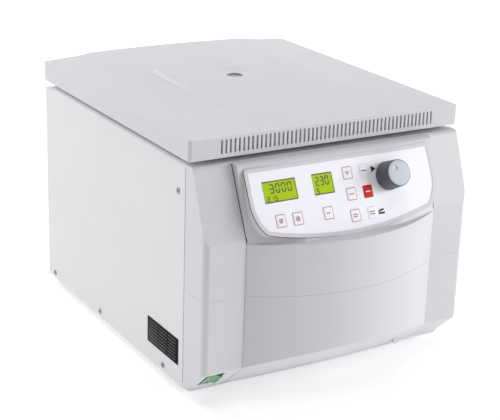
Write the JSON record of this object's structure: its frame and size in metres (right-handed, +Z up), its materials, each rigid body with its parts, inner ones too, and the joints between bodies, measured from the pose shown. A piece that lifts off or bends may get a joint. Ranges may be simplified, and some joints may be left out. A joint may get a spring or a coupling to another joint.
{
  "type": "microplate centrifuge",
  "caption": "Bench centrifuge for microplates: grey case, sloping control pod with display, keys and knob, rear-hinged lid, swing-out rotor.",
  "frame": {"origin": "middle of the machine on the surface that it stands on, under the centre of its bounding box", "axes": "+X to the user's right, +Y from the control panel to the rear, +Z up"},
  "size_m": [0.4, 0.521, 0.3449],
  "materials": {
    "case_paint": "satin light grey powder coat",
    "cover_plastic": "light grey moulded plastic",
    "lid_plastic": "light grey moulded plastic",
    "steel": "sheet steel",
    "chamber_steel": "deep-drawn stainless steel",
    "black_plastic": "black moulded plastic",
    "overlay": "printed membrane film",
    "key_film": "raised key of the membrane film",
    "stop_film": "red stop key",
    "display": "green lit liquid crystal display",
    "clear_window": "clear window",
    "knob_plastic": "slate grey knob",
    "rocker_green": "green lit rocker",
    "rubber": "black rubber",
    "circuit_board": "green circuit board",
    "aluminium": "machined aluminium",
    "cast": "cast housing",
    "chrome": "ground rod",
    "black_steel": "black painted tube",
    "latch_gearbox": "gear motor"
  },
  "bodies": {
    "base": {"base_plate": "steel", "left_side_panel": "case_paint", "right_side_panel": "case_paint", "rear_panel": "case_paint", "front_cover_upper": "cover_plastic", "front_cover_lower": "cover_plastic", "control_pod": "cover_plastic", "panel_overlay": "overlay", "speed_display_window": "clear_window", "time_display_window": "clear_window", "speed_display_module": "display", "time_display_module": "display", "control_board": "circuit_board", "knob_encoder": "steel", "deck": "case_paint", "chamber_bowl": "chamber_steel", "guard_ring": "steel", "chamber_gasket": "rubber", "hinge_brackets": "steel", "hinge_pins": "steel", "gas_spring_brackets": "steel", "latch_motor": "latch_gearbox", "latch_bearings": "steel", "motor_housing": "aluminium", "motor_bearings": "steel", "motor_mount_plate": "steel", "rubber_dampers": "rubber", "power_inlet": "black_plastic", "power_board": "circuit_board", "power_switch_body": "black_plastic", "feet": "rubber", "side_screws": "steel"},
    "lid": {"lid_cover": "lid_plastic", "lid_inner_plate": "chamber_steel", "lid_window": "clear_window", "lid_strikers": "steel", "lid_hinge_arms": "steel", "lid_spring_tabs": "steel"},
    "gas_rod_left": {"gas_rod_left": "chrome"},
    "gas_rod_right": {"gas_rod_right": "chrome"},
    "gas_cylinder_left": {"gas_cylinder_left": "black_steel"},
    "gas_cylinder_right": {"gas_cylinder_right": "black_steel"},
    "latch": {"latch_hooks": "steel"},
    "rotor": {"motor_shaft": "steel", "rotor_yoke": "aluminium", "rotor_nut": "aluminium"},
    "carrier_left": {"plate_carrier_left": "aluminium"},
    "carrier_right": {"plate_carrier_right": "aluminium"},
    "knob": {"knob": "knob_plastic"},
    "power_rocker": {"power_rocker": "rocker_green"},
    "release_plug": {"release_plug": "black_plastic"},
    "program_key": {"program_key": "key_film"},
    "recall_key": {"recall_key": "key_film"},
    "radius_key": {"radius_key": "key_film"},
    "brake_key": {"brake_key": "key_film"},
    "ramp_key": {"ramp_key": "key_film"},
    "pulse_key": {"pulse_key": "key_film"},
    "start_key": {"start_key": "key_film"},
    "stop_key": {"stop_key": "stop_film"},
    "lid_key": {"lid_key": "key_film"}
  },
  "joints": [
    {"name": "lid_hinge", "type": "hinge", "parent": "base", "child": "lid", "pos_m": [0, 0.2515, 0.303], "axis": [-1, 0, 0], "range_deg": [0, 75]},
    {"name": "gas_rod_left_pivot", "type": "hinge", "parent": "lid", "child": "gas_rod_left", "pos_m": [-0.15, 0.2356, 0.2908], "axis": [-1, 0, 0], "range_deg": [-75, 0]},
    {"name": "gas_spring_left_stroke", "type": "slide", "parent": "gas_rod_left", "child": "gas_cylinder_left", "axis": [0, 0, 1], "range_m": [-0.0245, 0]},
    {"name": "gas_rod_right_pivot", "type": "hinge", "parent": "lid", "child": "gas_rod_right", "pos_m": [0.15, 0.2356, 0.2908], "axis": [-1, 0, 0], "range_deg": [-75, 0]},
    {"name": "gas_spring_right_stroke", "type": "slide", "parent": "gas_rod_right", "child": "gas_cylinder_right", "axis": [0, 0, 1], "range_m": [-0.0245, 0]},
    {"name": "latch_turn", "type": "hinge", "parent": "base", "child": "latch", "pos_m": [0, -0.1435, 0.27], "axis": [-1, 0, 0], "range_deg": [0, 25]},
    {"name": "rotor_spin", "type": "hinge", "parent": "base", "child": "rotor", "pos_m": [0, 0.0615, 0.225], "axis": [0, 0, 1], "continuous": true},
    {"name": "carrier_left_swing", "type": "hinge", "parent": "rotor", "child": "carrier_left", "pos_m": [-0.086, 0.0615, 0.225], "axis": [0, 1, 0], "range_deg": [0, 90]},
    {"name": "carrier_right_swing", "type": "hinge", "parent": "rotor", "child": "carrier_right", "pos_m": [0.086, 0.0615, 0.225], "axis": [0, -1, 0], "range_deg": [0, 90]},
    {"name": "knob_turn", "type": "hinge", "parent": "base", "child": "knob", "pos_m": [0.0657, -0.21314, 0.26658], "axis": [0, -0.8994, 0.4371], "continuous": true},
    {"name": "program_key_press", "type": "slide", "parent": "base", "child": "program_key", "axis": [0, 0.8994, -0.4371], "range_m": [0, 0.0005], "stiffness_N_per_m": 400},
    {"name": "recall_key_press", "type": "slide", "parent": "base", "child": "recall_key", "axis": [0, 0.8994, -0.4371], "range_m": [0, 0.0005], "stiffness_N_per_m": 400},
    {"name": "radius_key_press", "type": "slide", "parent": "base", "child": "radius_key", "axis": [0, 0.8994, -0.4371], "range_m": [0, 0.0005], "stiffness_N_per_m": 400},
    {"name": "brake_key_press", "type": "slide", "parent": "base", "child": "brake_key", "axis": [0, 0.8994, -0.4371], "range_m": [0, 0.0005], "stiffness_N_per_m": 400},
    {"name": "ramp_key_press", "type": "slide", "parent": "base", "child": "ramp_key", "axis": [0, 0.8994, -0.4371], "range_m": [0, 0.0005], "stiffness_N_per_m": 400},
    {"name": "pulse_key_press", "type": "slide", "parent": "base", "child": "pulse_key", "axis": [0, 0.8994, -0.4371], "range_m": [0, 0.0005], "stiffness_N_per_m": 400},
    {"name": "start_key_press", "type": "slide", "parent": "base", "child": "start_key", "axis": [0, 0.8994, -0.4371], "range_m": [0, 0.0005], "stiffness_N_per_m": 400},
    {"name": "stop_key_press", "type": "slide", "parent": "base", "child": "stop_key", "axis": [0, 0.8994, -0.4371], "range_m": [0, 0.0005], "stiffness_N_per_m": 400},
    {"name": "lid_key_press", "type": "slide", "parent": "base", "child": "lid_key", "axis": [0, 0.8994, -0.4371], "range_m": [0, 0.0005], "stiffness_N_per_m": 400},
    {"name": "power_rocker_tilt", "type": "hinge", "parent": "base", "child": "power_rocker", "pos_m": [-0.176, -0.19658, 0.03801], "axis": [0, -0.7293, 0.6841], "range_deg": [0, 14]},
    {"name": "release_plug_pull", "type": "slide", "parent": "base", "child": "release_plug", "axis": [0, -1, 0], "range_m": [0, 0.018]}
  ],
  "couplings": [
    {"joint": "gas_rod_left_pivot", "follows": "lid_hinge", "ratio": -1},
    {"joint": "gas_spring_left_stroke", "follows": "lid_hinge", "m_per_rad": -0.01864},
    {"joint": "gas_rod_right_pivot", "follows": "lid_hinge", "ratio": -1},
    {"joint": "gas_spring_right_stroke", "follows": "lid_hinge", "m_per_rad": -0.01864}
  ]
}
